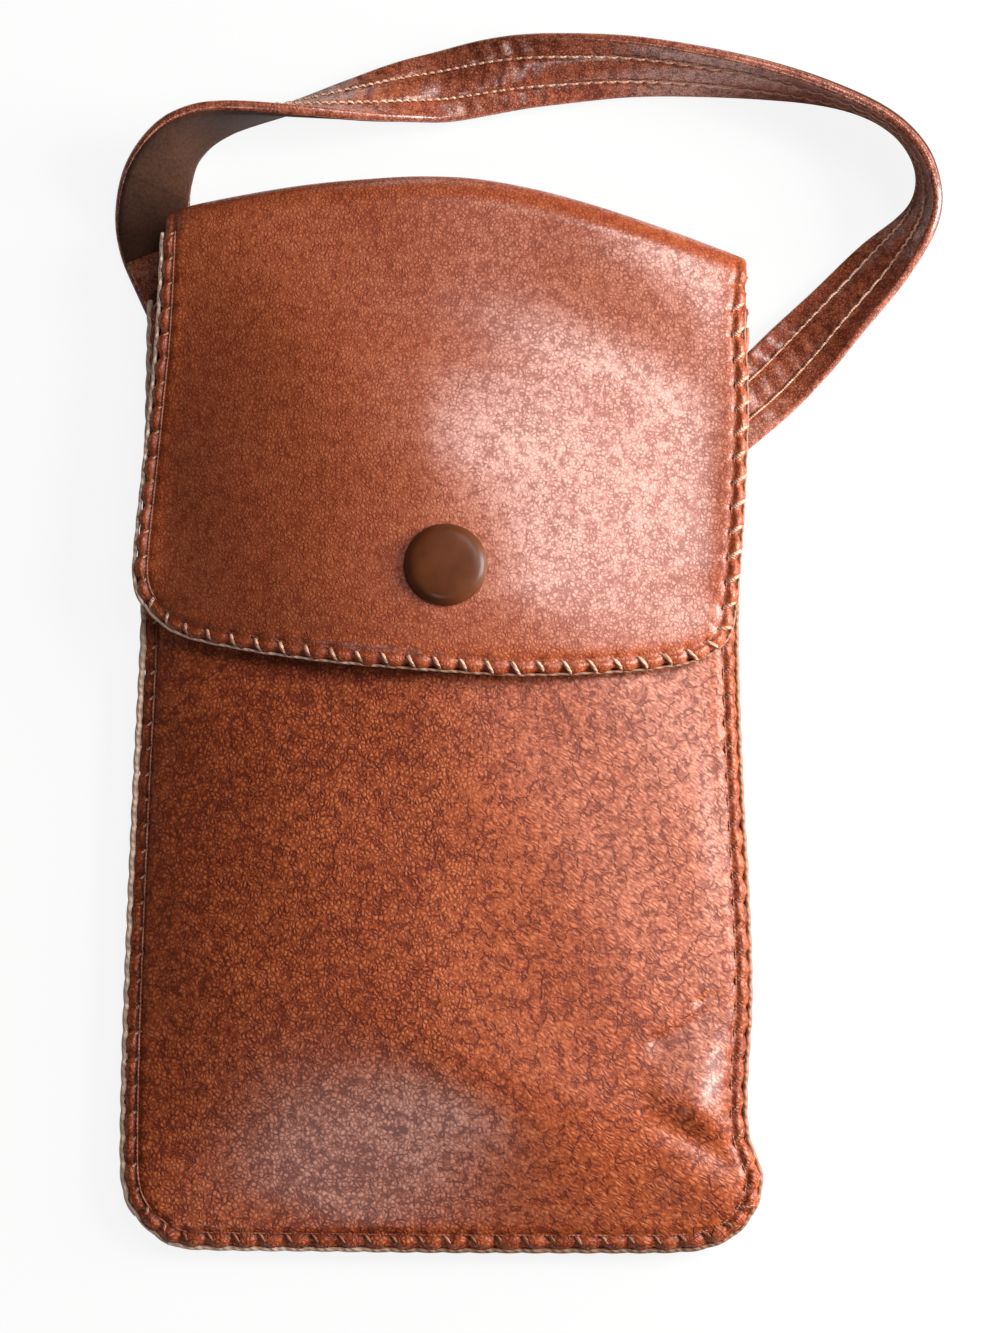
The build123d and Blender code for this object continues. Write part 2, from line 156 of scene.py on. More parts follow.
TABLE_WHITE = 0.93
TABLE_GLOW = 0.88  # share of the table that the camera sees as plain white; the rest keeps shadow
TABLE_HALF = 3.0
table_paint, table_shader, start = finish("table_paper", Roughness=0.9)
table_shader.inputs["Base Color"].default_value = (TABLE_WHITE, TABLE_WHITE, TABLE_WHITE, 1)
to_camera = start.node("ShaderNodeLightPath", out=0)
glow = start.node("ShaderNodeEmission", links={"Color": (1, 1, 1, 1), "Strength": 1.0})
shade = Tone(table_paint.node_tree, table_shader.outputs[0])
seen = start.node("ShaderNodeMixShader", links={0: to_camera * TABLE_GLOW, 1: shade, 2: glow})
table_paint.node_tree.links.new(
    seen.socket, table_paint.node_tree.nodes["Material Output"].inputs["Surface"])
sheet_data = bpy.data.meshes.new("table")
sheet_data.from_pydata(
    [(-TABLE_HALF, -TABLE_HALF, 0), (TABLE_HALF, -TABLE_HALF, 0), (TABLE_HALF, TABLE_HALF, 0),
     (-TABLE_HALF, TABLE_HALF, 0)], [], [(0, 1, 2, 3)])
sheet_data.materials.append(table_paint)
table = bpy.data.objects.new("table", sheet_data)
scene.collection.objects.link(table)

WALL_WHITE = 0.97  # what the camera sees of the room behind the table
ROOM_LIGHT = 0.015  # what the room adds to the lamps
world = bpy.data.worlds.new("room")
world.use_nodes = True
world.node_tree.nodes["Background"].inputs["Color"].default_value = (1.0, 1.0, 1.0, 1)
start = Tone(world.node_tree)
wall = start.node("ShaderNodeLightPath", out=0) * WALL_WHITE + ROOM_LIGHT
world.node_tree.links.new(
    wall.socket, world.node_tree.nodes["Background"].inputs["Strength"])
scene.world = world


def lamp(name, place, towards, size, watts, colour):
    """A soft rectangular lamp at a place, turned towards a spot on the case."""
    light = bpy.data.lights.new(name, "AREA")
    light.shape, light.size, light.size_y = "RECTANGLE", size[0], size[1]
    light.energy, light.color = watts, colour
    thing = bpy.data.objects.new(name, light)
    thing.location = place
    thing.rotation_mode = "QUATERNION"
    thing.rotation_quaternion = (Vector(towards) - Vector(place)).to_track_quat("-Z", "Y")
    scene.collection.objects.link(thing)


lamp("window", (0.51, 0.09, 0.21), (0.0, 0.0, 0.0), (0.3, 0.36), 6.7, (1.0, 0.985, 0.96))
lamp("skylight", (0.40, 0.38, 0.85), (0.02, 0.04, 0.0), (0.6, 0.26), 3.1, (1.0, 0.99, 0.98))
lamp("doorway", (-0.17, -0.50, 0.69), (0.0, -0.06, 0.0), (0.22, 0.18), 0.85, (1.0, 0.99, 0.98))

# The back: one sheet of leather under the whole case, turned up a little over the strap's sewn
# ends. It is cut with a soft outline that the seam pulls in at each stitch.
MM = 0.001
STITCH = 4.2
POINTS_PER_STITCH = 10
NEEDLE = 2.1  # from the edge in to the line of holes
LEATHER = 1.6
LINING = 0.6
GLUE = 0.04  # left free between lining and leather
STACK = 2 * (LEATHER + LINING)
STRAP_THICK = 2.2
BED_START, BED_END = 8.0, 22.0  # the back lifts between these two, over the strap's sewn ends
JOIN_Y = 67.5  # where the back runs on into the flap's fold


def smooth(low, high, value):
    """From 0 at low to 1 at high, with soft ends."""
    t = np.clip((np.asarray(value) - low) / (high - low), 0, 1)
    return t * t * (3 - 2 * t)


def gone_along(line):
    """How far along the line each of its points lies."""
    return np.r_[0, np.cumsum(np.linalg.norm(np.diff(line, axis=0), axis=1))]


def heading(line):
    """Which way the line runs at each of its points."""
    run = np.gradient(line, axis=0)
    return run / np.linalg.norm(run, axis=1)[:, None]


def through(points, step=STITCH / POINTS_PER_STITCH):
    """A smooth line through the points, resampled every step."""
    per_span = 24
    points = np.array(points, float)
    ends = np.vstack([2 * points[0] - points[1], points, 2 * points[-1] - points[-2]])
    found = []
    for p0, p1, p2, p3 in zip(ends, ends[1:], ends[2:], ends[3:]):
        t = np.linspace(0, 1, per_span, endpoint=False)[:, None]
        found.append(0.5 * (2 * p1 + (p2 - p0) * t + (2 * p0 - 5 * p1 + 4 * p2 - p3) * t ** 2
                            + (3 * p1 - p0 - 3 * p2 + p3) * t ** 3))
    line = np.vstack(found + [points[-1:]])
    gone = gone_along(line)
    even = np.arange(0, gone[-1], step)
    return np.stack([np.interp(even, gone, line[:, k]) for k in range(line.shape[1])], 1)


def spread(count, crowd):
    """Even steps from 0 to 1 that crowd towards both ends."""
    t = np.linspace(0, 1, count)
    return t - crowd * np.sin(2 * np.pi * t) / (2 * np.pi)


def at(line, shares):
    """Points at given shares of a line's length."""
    gone = gone_along(line)
    return np.stack([np.interp(shares * gone[-1], gone, line[:, k]) for k in range(2)], 1)


def patch(bottom, right, top, left, across, along):
    """A grid that fills four lines; bottom and top run to the right, left and right run up."""
    low, high = at(bottom, across)[None], at(top, across)[None]
    left_side, right_side = at(left, along)[:, None], at(right, along)[:, None]
    u, v = across[None, :, None], along[:, None, None]
    corners = ((1 - u) * (1 - v) * bottom[0] + u * (1 - v) * bottom[-1]
               + (1 - u) * v * top[0] + u * v * top[-1])
    return (1 - v) * low + v * high + (1 - u) * left_side + u * right_side - corners


def from_edge(grid, line):
    """How far each point lies from the edge line, how far along it, and which way is out."""
    flat = grid.reshape(-1, 2)
    gone, run = gone_along(line), heading(line)
    far, where, out = np.empty(len(flat)), np.empty(len(flat)), np.empty((len(flat), 2))
    outward = np.stack([run[:, 1], -run[:, 0]], 1)
    batch = 4000
    for first in range(0, len(flat), batch):
        some = slice(first, first + batch)
        gap = flat[some, None] - line[None]
        size = (gap ** 2).sum(2)
        near = size.argmin(1)
        far[some] = np.sqrt(size[np.arange(len(near)), near])
        where[some], out[some] = gone[near], outward[near]
    shape = grid.shape[:2]
    return far.reshape(shape), where.reshape(shape), out.reshape(*shape, 2)


def scallop(where):
    """0 where a stitch pulls the edge in, 1 between two stitches."""
    return np.abs(np.sin(np.pi * where / STITCH)) ** 0.8


def normals(grid):
    """Which way the leather faces: smoothed, and straight up or down at the two lower corners."""
    smoothings, clear_row = 5, 24
    du, dv = np.gradient(grid, axis=1), np.gradient(grid, axis=0)
    found = np.cross(du, dv)
    for again in range(smoothings):
        wide = np.pad(found, ((1, 1), (1, 1), (0, 0)), "edge")
        found = (wide[:-2, 1:-1] + wide[2:, 1:-1] + wide[1:-1, :-2] + wide[1:-1, 2:]
                 + found * 2) / 6
    found /= np.maximum(np.linalg.norm(found, axis=2, keepdims=True), 1e-12)
    row, column = np.indices(found.shape[:2])
    corner = smooth(18, 8, row) * smooth(18, 8, np.minimum(column, column[:, ::-1]))
    found *= 1 - corner[..., None]
    found[..., 2] += corner * np.sign(found[clear_row, found.shape[1] // 2, 2])
    return found / np.linalg.norm(found, axis=2, keepdims=True)


def solid(name, points, faces, material):
    """A smooth piece from its points, in millimetres, and its faces."""
    mesh = bpy.data.meshes.new(name)
    mesh.from_pydata((points * MM).tolist(), [], faces)
    mesh.materials.append(material)
    mesh.shade_smooth()
    piece = bpy.data.objects.new(name, mesh)
    scene.collection.objects.link(piece)
    return piece


def thicken(name, outer, thickness, distance, material, round_to=0.8, soil_and_shade=0.3):
    """A closed sheet under an outer face, its edge rounded where distance falls to nothing."""
    rise = normals(outer)
    middle = outer - rise * thickness / 2
    near = np.clip(distance / round_to, 0, 1)
    half = (thickness / 2 * np.sqrt(np.clip(1 - (1 - near) ** 2, 0.02, 1)))[..., None]
    faces_out, faces_in = middle + rise * half, middle - rise * half
    rows, columns = outer.shape[:2]
    points = np.vstack([faces_out.reshape(-1, 3), faces_in.reshape(-1, 3)])
    number = np.arange(rows * columns).reshape(rows, columns)
    a, b, c, d = (number[:-1, :-1], number[:-1, 1:], number[1:, 1:], number[1:, :-1])
    upper = np.stack([a, b, c, d], -1).reshape(-1, 4)
    lower = upper[:, ::-1] + rows * columns
    ring = np.r_[number[0, :-1], number[:-1, -1], number[-1, :0:-1], number[:0:-1, 0]]
    after = np.roll(ring, -1)
    rim = np.stack([ring + rows * columns, after + rows * columns, after, ring], -1)
    piece = solid(name, points, np.vstack([upper, lower, rim]).tolist(), material)
    inward = np.tile(distance.ravel(), 2)
    # Painted shade: the rim mark darkens the leather along the seam's groove, where shade falls,
    # and more towards the case's left side, which the light leaves darker.
    dark = np.tile((soil_and_shade + 0.4 * smooth(10.0, -35.0, outer[..., 0])).ravel(), 2)
    groove_at, groove_wide = 1.9, 0.5
    marks = {"rim": dark * np.exp(-((inward - groove_at) / groove_wide) ** 2),  # painted shade in the seam's groove, heavier towards the case's left
             "band": smooth(5.5, 2.4, inward)}  # the sewn edge's dull strip
    for label, value in marks.items():
        piece.data.attributes.new(label, "FLOAT", "POINT").data.foreach_set("value", value)
    return piece


def emboss(shader, height, depth):
    """Relief in a surface: depth millimetres where the height is 1."""
    feed(shader, "Normal", height.node("ShaderNodeBump", {}, {
        "Height": height, "Strength": 1.0, "Distance": depth * MM}))


def leather(name, deep, middle, high, cell=1.0, crackle=1.0, depth=0.13, rough=0.5, streak=0.0,
            sheen=0.92):
    """Grained leather: pebbles with dark creases between them, an uneven dye and a waxed face."""
    material, shader, start = finish(name, Specular_IOR_Level=0.3, Coat_Roughness=0.30,
                                     Coat_IOR=2.3)
    place = start.node("ShaderNodeTexCoord", out=3)
    wander = place.noise(420.0, 3.0, out=1)
    bent = place.shifted(wander, 0.0011)
    wide = place.noise(34.0, 4.0, 0.6)
    cloud = place.noise(480.0, 4.0, 0.65)
    grit = place.noise(1500.0, 2.0)
    crease = bent.cells(1000 / cell)
    crack = place.shifted(wander, 0.0032).cells(380.0)
    pebble = crease.between(0.0, 0.36)
    if streak:  # grain drawn out on the slant, more of it towards the right
        slanted = start.node("ShaderNodeMapping", {"vector_type": "TEXTURE"}, {
            "Vector": bent, "Rotation": (0, 0, -0.55), "Scale": (2.4, 0.85, 1.0)})
        drawn = slanted.cells(1000 / cell).between(0.0, 0.42)
        across = start.node("ShaderNodeSeparateXYZ", {}, {"Vector": place})
        share = (across * 14.0 + wide).between(0.45, 1.0) * streak
        pebble = pebble * (1 - share) + drawn * share
    patchy = cloud.between(0.3, 0.7)
    worn = wide.between(0.34, 0.68)
    fissure = crack.between(0.11, 0.0) * patchy.between(0.9, 0.2) * crackle
    tone = (pebble * 0.38 + grit.between(0.3, 0.7) * 0.24 + patchy * 0.22 + worn * 0.14
            - fissure * 0.34)
    dyed = start.node("ShaderNodeValToRGB", {
        "stops": [(0.16, deep), (0.50, middle), (0.90, high)]}, {"Fac": tone})
    # Painted shade: the base colour turns darker where the rim mark lies, along the seam's groove.
    rim = start.node("ShaderNodeAttribute", {"attribute_name": "rim"}, out=2)
    feed(shader, "Base Color", rim.blend(dyed, tuple(c * 0.42 for c in deep)))
    feed(shader, "Roughness", rough + 0.1 - tone * 0.15)
    band = start.node("ShaderNodeAttribute", {"attribute_name": "band"}, out=2)
    feed(shader, "Coat Weight", tone.between(0.2, 0.65, 0.35, 1.0) * (1 - band * 0.75) * sheen)
    emboss(shader, pebble * 0.6 + patchy * 0.35 + grit * 0.15 - fissure * 0.45, depth)
    return material


body_line = through([
    (-48.9, 68.0), (-48.8, 40.0), (-49.0, 10.5), (-49.8, -16.0), (-50.5, -49.0), (-50.6, -70.0),
    (-50.2, -78.0), (-48.7, -82.0), (-46.2, -84.8), (-43.0, -86.9), (-38.0, -87.7), (-20.0, -87.9),
    (0.0, -88.1), (25.0, -88.2), (38.0, -88.1), (43.5, -87.2), (47.6, -84.9), (50.4, -80.8),
    (51.0, -76.4), (49.7, -72.8), (48.8, -69.0), (48.8, -62.0), (49.8, -48.0), (49.5, -30.0),
    (48.9, -16.0), (48.4, 7.0), (48.8, 30.0), (49.6, 50.0), (50.6, 60.0), (51.2, 68.0),
])


def nearest(line, spot):
    """The number of the line's point that is nearest to a spot."""
    return np.abs(line - spot).sum(1).argmin()


corner_left, corner_right = nearest(body_line, (-46.2, -84.8)), nearest(body_line, (47.6, -84.9))
body_left = body_line[corner_left::-1]
body_bottom = body_line[corner_left:corner_right + 1]
body_right = body_line[corner_right:]
grid_across, grid_along = spread(170, 0.5), spread(230, 0.3)


def body_grid(across, along, top_y):
    """The case's plan as a grid, up to the line top_y."""
    left = body_left[body_left[:, 1] <= top_y]
    right = body_right[body_right[:, 1] <= top_y]
    top = np.stack([np.linspace(left[-1][0], right[-1][0], 80), np.full(80, top_y)], 1)
    left[-1], right[-1] = top[0], top[-1]
    return patch(body_bottom, right, top, left, across, along)


def bed(y):
    """How far the case is lifted over the strap's sewn ends."""
    return STRAP_THICK * smooth(BED_START, BED_END, y)


case_leather = leather("case_leather", (0.19, 0.024, 0.004), (0.42, 0.080, 0.019),
                       (0.68, 0.185, 0.060), cell=0.72, crackle=1.0, depth=0.12,
                       streak=0.9, sheen=0.42)
back_across, back_along = spread(120, 0.5), spread(190, 0.3)
plan = body_grid(back_across, back_along, JOIN_Y)
far, where, out = from_edge(plan, body_line)
pulled = plan + out * ((0.2 + 0.28 * scallop(where)) * np.exp(-far))[..., None]
groove = 0.28 * np.exp(-((far - NEEDLE) / 0.5) ** 2)
lift = 0.35 * np.exp(-far / 1.6)
outer = np.dstack([pulled, bed(plan[..., 1]) + groove + lift])
back = thicken("back_leather", outer[:, ::-1], LEATHER, far[:, ::-1], case_leather)
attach(back, "case")
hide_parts("back_panel")

# The back's lining: thin brown leather, cut a little smaller than the back. It is glued to the
# back's inner face, and the seam's thread holds it round the edge.
lining_leather = leather("lining_leather", (0.045, 0.018, 0.009), (0.11, 0.048, 0.026),
                         (0.17, 0.08, 0.045), cell=0.6, crackle=0.3, depth=0.05, rough=0.68,
                         sheen=0.1)
coarse_across, coarse_along = spread(60, 0.4), spread(90, 0.3)
LINING_ROUND = 0.4


def cut_smaller(plan, far, out):
    """The plan drawn in along its edge, as the lining is cut."""
    return plan - out * (0.4 * np.exp(-far / 0.8))[..., None]


plan = body_grid(coarse_across, coarse_along, JOIN_Y)
far, where, out = from_edge(plan, body_line)
outer = np.dstack([cut_smaller(plan, far, out), LEATHER + LINING + bed(plan[..., 1])])
back_lining = thicken("back_lining_leather", outer, LINING - GLUE, far, lining_leather,
                      LINING_ROUND)
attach(back_lining, "case")
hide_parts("back_lining")

# The front: a softer sheet that stands up in a low empty swell, dented at its lower right where
# the corner was crushed. The seam holds it on three sides, and it is open at the mouth.
MOUTH_Y = 66.8
POCKET_RISE = 9.5
SWELL_X = -3.0  # the swell and the flap are highest along this line


def swell(x, y):
    """The pocket's height over its sewn edge."""
    left, right = np.clip((SWELL_X - x) / 46.0, 0, 1), np.clip((x - SWELL_X) / 52.0, 0, 1)
    side = 1 - left ** 2.6 - right ** 1.6
    limp = smooth(36.0, -34.0, x)
    foot = smooth(-88.5 - 8.0 * limp, -66.0 + 22.0 * limp, y) ** (0.8 + 0.3 * limp)
    fall = 1 - 0.22 * smooth(32.0, 66.0, y)
    flat_foot = 1 - 0.16 * limp * smooth(5.0, -58.0, y)
    return POCKET_RISE * side * foot * fall * flat_foot


def ridge(x, y, start, end, width):
    """1 on a line between two points, falling off to each side."""
    start, end = np.array(start, float), np.array(end, float)
    run = end - start
    share = np.clip(((x - start[0]) * run[0] + (y - start[1]) * run[1]) / (run @ run), 0, 1)
    gap = np.hypot(x - start[0] - share * run[0], y - start[1] - share * run[1])
    return np.exp(-(gap / width) ** 2)


def crushed(x, y, z):
    """The crushed lower right: a flat facet that rises to a fold, a hollow and a low heap."""
    over = (x - 33.6) * 0.497 - (y + 55.3) * 0.868
    under = (x - 34.3) * 0.443 + (y + 63.4) * 0.897
    facet = smooth(-0.3, 0.5, over) * smooth(-1.8, 1.8, x - 33.6) * smooth(-5.0, 0.4, under)
    plane = np.minimum(7.8 - 0.12 * (x - 33.6) - 0.15 * (y + 55.3), z + 2.0)
    z = z + facet * (plane - z)
    z = z - 0.28 * ridge(x, y, (49.0, -46.2), (41.5, -49.2), 0.45)
    z = z - 0.28 * ridge(x, y, (42.0, -48.6), (34.0, -55.0), 0.45)
    z = z - 0.7 * ridge(x, y, (37.5, -68.6), (48.0, -73.0), 2.8)
    return z + 0.7 * ridge(x, y, (40.0, -78.0), (46.0, -79.0), 4.6) * smooth(51, 46, x)


def ripple(x, y):
    """Slow waves in the soft leather."""
    return (0.32 * np.sin(x / 13.0 + y / 21.0) + 0.26 * np.sin(x / 9.0 - y / 15.0 + 1.3)
            + 0.16 * np.sin(x / 5.2 + y / 7.5 + 2.1))


def front_height(x, y, far):
    """The front's outer face; its edge, by how far it is, stays free of dents and waves."""
    z = STACK + (swell(x, y) ** 3 + bed(y) ** 3) ** (1 / 3)
    soft = smooth(1.0, 9.0, far)
    return z + soft * (crushed(x, y, z) - z + 0.6 * ripple(x, y))


def sewn(height, far, where, amount=1.0):
    """A sewn edge: a groove at the needle line, a hole at each stitch, and a pillow outside it."""
    beat = scallop(where)
    height = height - amount * 0.30 * np.exp(-((far - NEEDLE) / 0.55) ** 2)
    height = height - amount * 0.45 * (1 - beat) ** 2 * np.exp(-((far - NEEDLE) / 0.8) ** 2)
    height = height - amount * 0.75 * (1 - beat) * np.exp(-(far / 1.5) ** 2)
    height = height + amount * 0.35 * beat * np.exp(-((far - 1.1) / 0.55) ** 2)
    return height - amount * 0.75 * np.exp(-far / 0.9)


plan = body_grid(grid_across, grid_along, MOUTH_Y)
far, where, out = from_edge(plan, body_line)
pulled = plan + out * ((0.15 + 0.35 * scallop(where)) * np.exp(-far / 1.1))[..., None]
rise = sewn(front_height(plan[..., 0], plan[..., 1], far), far, where)
to_mouth = MOUTH_Y - plan[..., 1]
front = thicken("front_leather", np.dstack([pulled, rise]), LEATHER, np.minimum(far, to_mouth),
                case_leather)
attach(front, "case")
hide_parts("front_panel")

# The front's lining: the same thin brown leather, glued to the front's inner face. It follows the
# swell inside the pocket and ends at the mouth, where a row of stitches holds it.
plan = body_grid(coarse_across, coarse_along, MOUTH_Y)
far, where, out = from_edge(plan, body_line)
rise = front_height(plan[..., 0], plan[..., 1], far) - LEATHER - GLUE / 2
front_lining = thicken("front_lining_leather", np.dstack([cut_smaller(plan, far, out), rise]),
                       LINING - GLUE, np.minimum(far, MOUTH_Y - plan[..., 1]), lining_leather,
                       LINING_ROUND)
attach(front_lining, "case")
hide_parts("front_lining")

# The seam's thread: waxed tan thread that runs in a straight line 2 mm inside the edge. At every
# hole a turn leans over the edge and locks with a heavier thread along it.


def thread_finish(name, low, high, ply):
    """Twisted waxed thread between two colours, with darker furrows between its plies."""
    material, shader, start = finish(name, Roughness=0.48, Specular_IOR_Level=0.5)
    place = start.node("ShaderNodeTexCoord", out=3)
    lay = place.plies(900.0, 2.0)
    soil_and_shade = place.noise(150.0, 3.0)
    feed(shader, "Base Color", (lay * 0.3).blend(soil_and_shade.between(0.35, 0.7).blend(low, high), ply))
    emboss(shader, lay, 0.06)
    return material


thread_wax = thread_finish("waxed_thread", (0.66, 0.33, 0.21), (0.86, 0.53, 0.38),
                           (0.45, 0.19, 0.11))
# A darker copy of the waxed thread, as painted shade: used for the sunk needle lines and the long
# seam's turns.
shaded_wax = thread_finish("shaded_thread", (0.22, 0.055, 0.022), (0.42, 0.15, 0.08),
                           (0.12, 0.03, 0.012))
edge_wax, shader, start = finish("edge_thread", Roughness=0.5, Specular_IOR_Level=0.4)
place = start.node("ShaderNodeTexCoord", out=3)
lay = place.plies(420.0, 3.0)
# Painted light and shade on the edge cord: it is pale towards the case's left and dark towards its
# right, with a ragged border between.
ragged_border = place.noise(90.0, 3.0)
across = start.node("ShaderNodeSeparateXYZ", {}, {"Vector": place})
painted_light_fade = (across * 16.0 + ragged_border * 0.8).between(-0.25, 0.45)
feed(shader, "Base Color", (lay * 0.4).blend(
    painted_light_fade.blend((0.95, 0.68, 0.52), (0.33, 0.17, 0.105)), (0.36, 0.16, 0.09)))
emboss(shader, lay, 0.1)


def group_tree(name, inputs):
    """A new rule for thread, its inputs by name, and the socket that its result goes to."""
    tree = bpy.data.node_groups.new(name, "GeometryNodeTree")
    tree.interface.new_socket("Path", in_out="INPUT", socket_type="NodeSocketGeometry")
    for label, kind in inputs:
        tree.interface.new_socket(label, in_out="INPUT", socket_type="NodeSocket" + kind)
    tree.interface.new_socket("Thread", in_out="OUTPUT", socket_type="NodeSocketGeometry")
    entry = tree.nodes.new("NodeGroupInput")
    given = {s.name: Tone(tree, s) for s in entry.outputs if s.name}
    return tree, Tone(tree), given


def strand(start, ends, radius, sides):
    """A round thread through a start, a middle and an end, each (x, y, z) of tones or numbers."""
    spots = [start.node("ShaderNodeCombineXYZ", {}, dict(enumerate(end))) for end in ends]
    line = start.node("GeometryNodeCurveQuadraticBezier", {}, {
        "Resolution": 7, "Start": spots[0], "Middle": spots[1], "End": spots[2]})
    ring = start.node("GeometryNodeCurvePrimitiveCircle", {},
                      {"Resolution": sides, "Radius": radius})
    return start.node("GeometryNodeCurveToMesh", {}, {
        "Curve": line, "Profile Curve": ring, "Fill Caps": True})


def lay_on_path(tree, start, given, strands):
    """One copy of the strands at every hole of the path, standing on the leather."""
    joined = tree.nodes.new("GeometryNodeJoinGeometry")
    for one in strands:
        tree.links.new(one.socket, joined.inputs[0])
    one = Tone(tree, joined.outputs[0])
    curve = start.node("GeometryNodeMeshToCurve", {}, {"Mesh": given["Path"]})
    count = start.node("GeometryNodeInputIndex")
    hole = start.math("COMPARE", start.math("MODULO", count, given["Points per stitch"]), 0)
    hole.socket.node.inputs[2].default_value = 0.1
    run = start.node("GeometryNodeInputTangent")
    up = start.node("GeometryNodeInputNamedAttribute", {"data_type": "FLOAT_VECTOR"},
                    {"Name": "up"})
    turn = start.node("FunctionNodeAxesToRotation", {"primary_axis": "Z", "secondary_axis": "X"},
                      {"Primary Axis": up, "Secondary Axis": run})
    vary = start.node("FunctionNodeRandomValue", {"data_type": "FLOAT_VECTOR"}, {
        0: (1.0, 0.94, 0.85), 1: (1.0, 1.06, 1.0), "Seed": 7})
    laid = start.node("GeometryNodeInstanceOnPoints", {}, {
        "Points": curve, "Selection": hole, "Instance": one, "Rotation": turn, "Scale": vary})
    real = start.node("GeometryNodeRealizeInstances", {}, {"Geometry": laid})
    soft = start.node("GeometryNodeSetShadeSmooth", {}, {"Geometry": real})
    done = start.node("GeometryNodeSetMaterial", {}, {"Geometry": soft, "Material": given["Wax"]})
    tree.links.new(done.socket, tree.nodes.new("NodeGroupOutput").inputs[0])


turn_stitch, start, given = group_tree("turn_stitch", [
    ("Points per stitch", "Int"), ("Thread radius", "Float"), ("Lean", "Float"),
    ("Reach", "Float"), ("Drop", "Float"), ("Wax", "Material")])
radius, lean, reach_out, drop = (given[k] for k in ("Thread radius", "Lean", "Reach", "Drop"))
thread_sides = 7
lay_on_path(turn_stitch, start, given, [
    strand(start, [(0, 0, radius * -1.5), (lean * 0.45, reach_out * -0.6, radius * 3.2),
                   (lean, reach_out * -1.0, drop * -0.5)], radius, thread_sides),
    strand(start, [(lean, reach_out * -1.0, drop * -0.5),
                   (lean * 0.5, reach_out * -0.6, drop * -1.12), (0, 0, drop * -0.96)],
           radius, thread_sides),
])

# A running thread is one tube along the path: it dips at every hole and fattens between two.
running_thread, start, given = group_tree("running_thread", [
    ("Points per stitch", "Int"), ("Thread radius", "Float"), ("Rise", "Float"),
    ("Pinch", "Float"), ("Wax", "Material")])
curve = start.node("GeometryNodeMeshToCurve", {}, {"Mesh": given["Path"]})
count = start.node("GeometryNodeInputIndex")
wave = start.math("ABSOLUTE", start.math("SINE", count * math.pi / given["Points per stitch"]))
up = start.node("GeometryNodeInputNamedAttribute", {"data_type": "FLOAT_VECTOR"}, {"Name": "up"})
wave_up = start.math("POWER", wave, 0.6) * given["Rise"]
push = start.node("ShaderNodeVectorMath", {"operation": "SCALE"}, {0: up, "Scale": wave_up})
waved = start.node("GeometryNodeSetPosition", {}, {"Geometry": curve, "Offset": push})
thickness = given["Thread radius"] * (1 - given["Pinch"] + wave * given["Pinch"])
sized = start.node("GeometryNodeSetCurveRadius", {}, {"Curve": waved, "Radius": thickness})
ring = start.node("GeometryNodeCurvePrimitiveCircle", {}, {"Resolution": 8, "Radius": 1.0})
fatness = start.node("GeometryNodeInputRadius")
tube = start.node("GeometryNodeCurveToMesh", {}, {
    "Curve": sized, "Profile Curve": ring, "Scale": fatness, "Fill Caps": True})
soft = start.node("GeometryNodeSetShadeSmooth", {}, {"Geometry": tube})
real = start.node("GeometryNodeRealizeInstances", {}, {"Geometry": soft})
done = start.node("GeometryNodeSetMaterial", {}, {"Geometry": real, "Material": given["Wax"]})
running_thread.links.new(done.socket, running_thread.nodes.new("NodeGroupOutput").inputs[0])


def lay_thread(tree, spots, ups, values, wax=thread_wax):
    """Thread laid along a path of points by its rule, as a plain mesh."""
    line = bpy.data.meshes.new("path")
    links = [(i, i + 1) for i in range(len(spots) - 1)]
    line.from_pydata((np.array(spots) * MM).tolist(), links, [])
    away = line.attributes.new("up", "FLOAT_VECTOR", "POINT")
    away.data.foreach_set("vector", np.array(ups, np.float32).ravel())
    raw = bpy.data.objects.new("path", line)
    scene.collection.objects.link(raw)
    rule = raw.modifiers.new("rule", "NODES")
    rule.node_group = tree
    sockets = {s.name: s.identifier for s in tree.interface.items_tree if s.in_out == "INPUT"}
    for label, value in values.items():
        rule[sockets[label]] = value
    rule[sockets["Wax"]] = wax
    shown = raw.evaluated_get(bpy.context.evaluated_depsgraph_get())
    mesh = bpy.data.meshes.new_from_object(shown)
    bpy.data.objects.remove(raw)
    made = bpy.data.objects.new("thread", mesh)
    scene.collection.objects.link(made)
    return made


def sewn_in(name, threads, body, stands_for):
    """Threads joined as one piece: it rides on the case, or for the flap stays where it was built.
    """
    for thread in threads:
        thread.select_set(True)
    bpy.context.view_layer.objects.active = threads[0]
    with bpy.context.temp_override(active_object=threads[0], selected_editable_objects=threads):
        bpy.ops.object.join()
    made = threads[0]
    made.name = made.data.name = name
    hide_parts(*stands_for)
    if body == "flap":
        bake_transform(made)
    else:
        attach(made, body)


def inside(line, inset):
    """The line moved in from the edge."""
    run = heading(line)
    return line + inset * np.stack([-run[:, 1], run[:, 0]], 1)


def needle_path(line, inset, height):
    """Points of the needle line on the leather, and the leather's normal at each."""
    plan = inside(line, inset)
    x, y = plan[:, 0], plan[:, 1]
    z = height(x, y)
    slope_x = height(x + 0.5, y) - height(x - 0.5, y)
    slope_y = height(x, y + 0.5) - height(x, y - 0.5)
    up = np.stack([-slope_x, -slope_y, np.ones_like(x)], 1)
    return np.column_stack([x, y, z]), up / np.linalg.norm(up, axis=1)[:, None]


def whole_stitches(line, low, high):
    """The part of an edge line from one share of its length to another, in whole stitches."""
    count = (len(line) - 1) // POINTS_PER_STITCH
    first, last = int(count * low), int(count * high)
    return line[first * POINTS_PER_STITCH:last * POINTS_PER_STITCH + 1]


